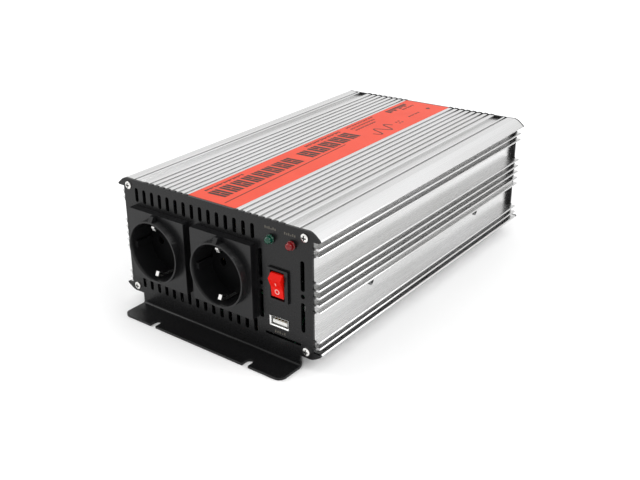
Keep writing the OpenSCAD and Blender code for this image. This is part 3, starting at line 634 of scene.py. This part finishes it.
def print_label():
    """Plain bars, ticks, a rule, a wave and dots on the label."""
    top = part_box("top_label")[1].z

    def on_label(x, y, w):
        return Vector((x * MM, y * MM, top + (PRINT_LIFT + w) * MM))

    def ink(name, outlines):
        plates("label_print_" + name, outlines, on_label, PRINT_T, INK_DARK)

    y0, y1 = RULE_SPAN
    rule = [(RULE_X[0], y0), (RULE_X[0] + RULE_W, y0), (RULE_X[1] + RULE_W, y1), (RULE_X[1], y1)]
    ink("blocks", block_bars())
    ink("rule", [rule])
    ink("caption", tick_row(*CAPTION))
    ink("second_caption", tick_row(*SECOND_CAPTION))
    ink("lines", [tick for row in LINES for tick in tick_row(*row)])
    ink("wave", wave_band(*WAVE))
    ink("dots", [box_outline(x, y, x + DOT_SIZE, y + DOT_SIZE) for x in DOT_X for y in DOT_Y])
    ink("model", tick_row(*MODEL))
    ink("model_note", tick_row(*MODEL_NOTE))
    ink("ratings", tick_row(*RATINGS))
    ink("mark", [DIAMOND])


# ---------------------------------------------------------------- marks on the panels


def make_rocker_marks():
    """The bar and the ring moulded on the two halves of the rocker's face."""
    joint = next(j for j in frame["joints"] if j["name"] == "rocker_tilt")
    pivot = Vector(joint["pos_m"])
    tilt = math.radians(joint["range_deg"][1] / 2)
    half, reach = ROCKER_FACE
    length = math.hypot(half, ROCKER_DIP)

    def on_half(up):
        """Places (x, distance from the valley, height) on the upper or the lower half."""
        def place(x, along, height):
            y = -(reach - ROCKER_DIP) - (along * ROCKER_DIP + height * half) / length
            z = up * (along * half - height * ROCKER_DIP) / length
            return pivot + Vector((
                x * MM,
                (y * math.cos(tilt) - z * math.sin(tilt)) * MM,
                (y * math.sin(tilt) + z * math.cos(tilt)) * MM,
            ))
        return place

    bar = box_outline(*ROCKER_BAR)
    plates("rocker_on_mark", [bar], on_half(1), ROCKER_MARK_T, INK_ROCKER, "rocker")

    def ring(bm):
        add_ring(bm, ROCKER_RING_AT, ROCKER_RING_R, on_half(-1), ROCKER_MARK_T)

    mesh_object("rocker_off_mark", ring, INK_ROCKER, "rocker")


def on_front(x, z, out):
    """A place on the front panel, so many millimetres out from its face."""
    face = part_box("upper_shell")[0].y - SHEET_T * MM
    return Vector((x * MM, face - (PRINT_LIFT + out) * MM, z * MM))


def on_rear(x, z, out):
    """A place on the rear panel, with x to the right as seen from behind."""
    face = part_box("upper_shell")[1].y + SHEET_T * MM
    return Vector((-x * MM, face + (PRINT_LIFT + out) * MM, z * MM))


def print_panels():
    """Ticks over the lamps and under the port, and the plus, minus and earth signs behind."""
    ticks = []
    for x0, x1, z, count in FRONT_MARKS:
        ticks += [[(v, u) for u, v in outline] for outline in tick_row(z, FRONT_MARK_H, x0, x1, count)]
    plates("front_panel_marks", ticks, on_front, PRINT_T, INK_GREY)

    plus, minus = TERMINAL_X
    ground_x, ground_z = EARTH_AT
    foot, top = (ground_z + height for height in EARTH_SPAN)
    stem = EARTH_LINE_W / 2
    signs = [
        cross_outline(plus, TERMINAL_MARK_Z, SIGN_REACH, SIGN_HALF_W),
        box_outline(
            minus - SIGN_REACH, TERMINAL_MARK_Z - SIGN_HALF_W, minus + SIGN_REACH, TERMINAL_MARK_Z + SIGN_HALF_W
        ),
        box_outline(ground_x - stem, foot, ground_x + stem, top),
    ]
    for i, half in enumerate(EARTH_BARS):
        z = foot - EARTH_BAR_PITCH * i
        signs.append(box_outline(ground_x - half, z - EARTH_LINE_W, ground_x + half, z))
    plates("rear_panel_marks", signs, on_rear, PRINT_T, INK_LIGHT)


def make_screw_recesses():
    """Painted shade: dark plates in the cross recesses of the panel and fan screws."""
    for node, (side, head_r, depth, arm, width) in SCREW_HEADS.items():
        low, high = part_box(node)
        tip = low.y if side < 0 else high.y
        floor = tip - side * depth * MM
        centres = [
            (x / MM, z / MM)
            for x in (low.x + head_r * MM, high.x - head_r * MM)
            for z in (low.z + head_r * MM, high.z - head_r * MM)
        ]
        crosses = [cross_outline(x, z, arm / 2, width / 2) for x, z in centres]

        def place(x, z, out, floor=floor, side=side):
            return Vector((x * MM, floor + side * out * MM, z * MM))

        plates(node + "_recesses", crosses, place, RECESS_FILL, PAINTED_RECESS_SHADE)


def make_knob_rings():
    """A raised ring on each battery knob's end."""
    inner, outer, height, easing, sunk = KNOB_RING
    profile = [
        (inner, -sunk), (inner, height - easing), (inner + easing, height), (outer - easing, height),
        (outer, height - easing), (outer, -sunk), (inner, -sunk),
    ]
    for node, body, slot in (
        ("knob_positive", "knob_pos", "terminal_red"), ("knob_negative", "knob_neg", "terminal_black"),
    ):
        low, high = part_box(node)
        centre = (low + high) / 2

        def place(u, v, w, centre=centre, tip=high.y):
            return Vector((centre.x + u * MM, tip + w * MM, centre.z + v * MM))

        def ring(bm, place=place):
            add_lathe(bm, profile, place)
            bmesh.ops.remove_doubles(bm, verts=bm.verts, dist=1e-7)

        mesh_object(node + "_ring", ring, FINISHES[slot], body)


def make_lamps():
    """Round epoxy lamps with their flange, over a metal cup and two leads."""
    flange, back, end, lead_end = LAMP_DEPTHS
    for node, slot in (("power_led", "led_green"), ("fault_led", "led_red")):
        low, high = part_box(node)
        centre = (low + high) / 2

        def place(u, v, w, centre=centre, tip=low.y):
            return Vector((centre.x + u * MM, tip + w * MM, centre.z + v * MM))

        turns = [math.pi / 2 * i / DOME_STEPS for i in range(DOME_STEPS + 1)]
        profile = [(LAMP_R * math.sin(turn), LAMP_R * (1 - math.cos(turn))) for turn in turns] + [
            (LAMP_R, flange - 0.15), (LAMP_R + 0.15, flange), (LAMP_FLANGE_R - 0.1, flange),
            (LAMP_FLANGE_R, flange + 0.1), (LAMP_FLANGE_R, back), (LAMP_R, back), (LAMP_R, end), (0.0, end),
        ]

        def dome(bm, profile=profile, place=place):
            add_lathe(bm, profile, place)

        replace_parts(mesh_object(node + "_lens", dome, FINISHES[slot], "case"), node)

        def cup_and_leads(bm, place=place):
            add_lathe(bm, CUP, place, 28)
            for x in LEAD_X:
                outline = box_outline(x - LEAD_HALF_W, -LEAD_HALF_W, x + LEAD_HALF_W, LEAD_HALF_W)
                add_plate(bm, outline, lambda u, v, w: place(u, v, LEAD_FROM + w), lead_end - LEAD_FROM)

        mesh_object(node + "_leads", cup_and_leads, FINISHES["spring_nickel"], "case")


# ---------------------------------------------------------------- detail inside and behind


def add_sleeve(bm, centre, z0, z1):
    """A closed band of tape with round corners that stands round a coil."""
    half_x, half_y = TAPE_HALF

    def outline(extra):
        points = []
        for quarter in range(4):
            side_x = 1 if quarter in (0, 3) else -1
            side_y = 1 if quarter in (0, 1) else -1
            for i in range(7):
                a = math.pi / 2 * (quarter + i / 6)
                points.append((
                    centre[0] + side_x * (half_x - TAPE_CORNER) + (TAPE_CORNER + extra) * math.cos(a),
                    centre[1] + side_y * (half_y - TAPE_CORNER) + (TAPE_CORNER + extra) * math.sin(a),
                ))
        return points

    loops = [
        [bm.verts.new((x * MM, y * MM, z * MM)) for x, y in outline(extra)]
        for extra, z in ((TAPE_GAP, z0), (TAPE_GAP, z1), (TAPE_T, z1), (TAPE_T, z0))
    ]
    for first, second in zip(loops, loops[1:] + loops[:1]):
        for i in range(len(first)):
            j = (i + 1) % len(first)
            bm.faces.new((first[i], first[j], second[j], second[i]))


def make_coil_tape(board):
    """Tape round each transformer coil; board is the height of the board's top in millimetres."""
    low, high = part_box("transformer_windings")
    middle_y = (low.y + high.y) / 2 / MM

    def tape(bm):
        for x in COIL_X:
            add_sleeve(bm, (x, middle_y), board + TAPE_Z[0], board + TAPE_Z[1])

    mesh_object("coil_tape_bands", tape, COIL_TAPE, "case")


def make_can_tops(node, xs, y, radius):
    """The bare, scored top of each capacitor of a node."""
    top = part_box(node)[1].z / MM
    disc = [(0.0, 0.02), (radius, 0.02), (radius, 0.2), (radius - 0.2, 0.3), (0.0, 0.3)]

    def tops(bm):
        for x in xs:
            def place(u, v, w, x=x):
                return Vector(((x + u) * MM, (y + v) * MM, (top + w) * MM))
            add_lathe(bm, disc, place, 36)

    def on_top(u, v, w):
        return Vector((u * MM, v * MM, (top + 0.31 + w) * MM))

    mesh_object(node + "_tops", tops, FINISHES["bar_aluminium"], "case")
    # The scores are real; their dark plates are painted shade of the scored grooves
    scores = [cross_outline(x, y, radius * 0.7, 0.15) for x in xs]
    plates(node + "_scores", scores, on_top, 0.03, PAINTED_RECESS_SHADE)


def make_resistors(board):
    """Rows of waisted resistors on the board."""
    def resistors(bm):
        for column in range(RESISTOR_COUNT[0]):
            for row in range(RESISTOR_COUNT[1]):
                x = RESISTOR_AT[0] + RESISTOR_PITCH[0] * column
                y = RESISTOR_AT[1] + RESISTOR_PITCH[1] * row

                def place(u, v, w, x=x, y=y):
                    return Vector(((x + u) * MM, (y + w) * MM, (board + RESISTOR_Z + v) * MM))
                add_lathe(bm, RESISTOR, place, 16)

    mesh_object("board_resistors", resistors, RESISTOR_BODY, "case")


def make_hub_sticker():
    """A round sticker on the fan's hub, which turns with it."""
    low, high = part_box("fan_rotor")
    hub_x, hub_z = (low.x + high.x) / 2, (low.z + high.z) / 2

    def on_hub(u, v, w):
        return Vector((hub_x - u * MM, high.y + (PRINT_LIFT + w) * MM, hub_z + v * MM))

    def sticker(bm):
        add_ring(bm, (0.0, 0.0), STICKER_R, on_hub, STICKER_T)

    mesh_object("fan_hub_sticker", sticker, STICKER, "fan")


def make_inside():
    """Detail that shows through the vents, the fan and the slots."""
    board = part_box("main_board")[1].z / MM
    make_coil_tape(board)
    for node, (xs, y, radius) in CAN_TOPS.items():
        make_can_tops(node, xs, y, radius)
    make_resistors(board)
    make_hub_sticker()


# ---------------------------------------------------------------- studio


def make_camera():
    """The camera looks along -back from where it stands, turned by the roll."""
    data = bpy.data.cameras.new("camera")
    data.sensor_width = 36.0
    data.lens = CAMERA_LENS
    data.shift_x, data.shift_y = CAMERA_SHIFT
    data.clip_start, data.clip_end = 0.01, 100.0
    azimuth, elevation, roll = (
        math.radians(a) for a in (CAMERA_AZIMUTH, CAMERA_ELEVATION, CAMERA_ROLL)
    )
    back = Vector((
        math.sin(azimuth) * math.cos(elevation),
        -math.cos(azimuth) * math.cos(elevation),
        math.sin(elevation),
    ))
    right = (-back).cross(Vector((0.0, 0.0, 1.0))).normalized()
    up = right.cross(-back)
    rolled_right = right * math.cos(roll) + up * math.sin(roll)
    rolled_up = up * math.cos(roll) - right * math.sin(roll)
    camera = bpy.data.objects.new("camera", data)
    camera.matrix_world = Matrix.Translation(CAMERA_AT) @ Matrix(
        (rolled_right, rolled_up, back)
    ).transposed().to_4x4()
    bpy.context.collection.objects.link(camera)
    bpy.context.scene.camera = camera


def area_light(name, at, towards, size, power, colour=(1.0, 1.0, 1.0)):
    data = bpy.data.lights.new(name, "AREA")
    data.shape = "RECTANGLE"
    data.size, data.size_y = size
    data.energy = power
    data.color = colour
    light = bpy.data.objects.new(name, data)
    light.location = at
    light.rotation_euler = (Vector(towards) - Vector(at)).to_track_quat("-Z", "Y").to_euler()
    bpy.context.collection.objects.link(light)


def make_floor():
    """A pale paper floor."""
    reach = FLOOR_REACH
    floor_mesh = bpy.data.meshes.new("floor")
    floor_mesh.from_pydata(
        [(-reach, -reach, 0), (reach, -reach, 0), (reach, reach, 0), (-reach, reach, 0)], [], [(0, 1, 2, 3)]
    )
    floor = bpy.data.objects.new("floor", floor_mesh)
    floor.location.z = -FLOOR_DROP
    bpy.context.collection.objects.link(floor)
    f = Finish("floor_paper", (0.93, 0.93, 0.93), 0.0, 0.9, Specular_IOR_Level=0.2)
    f.relief(f.noise(3.0), 0.02, 0.2)
    floor_mesh.materials.append(f.material)


def make_studio():
    """A white surround with three soft boxes."""
    world = bpy.data.worlds.new("studio")
    world.use_nodes = True
    background = world.node_tree.nodes["Background"]
    background.inputs["Color"].default_value = (1.0, 1.0, 1.0, 1.0)
    background.inputs["Strength"].default_value = 1.0
    bpy.context.scene.world = world
    bpy.context.scene.view_settings.view_transform = "Standard"

    area_light("shoulder_box", (0.3, 1.25, 1.35), (0, 0, 0.05), (1.6, 1.0), 1.1, (0.96, 0.97, 1.0))
    area_light("side_box", (1.5, 0.4, 1.2), (0.1, 0, 0.0), (1.2, 1.2), 16.0)
    area_light("left_box", (-1.4, -0.4, 1.2), (-0.2, 0, 0.0), (1.2, 1.2), 10.0)


# ---------------------------------------------------------------- assembly

paint_cad_nodes()
print_label()
print_panels()
make_screw_recesses()
make_knob_rings()
make_lamps()
make_rocker_marks()
make_inside()
make_camera()
make_floor()
make_studio()
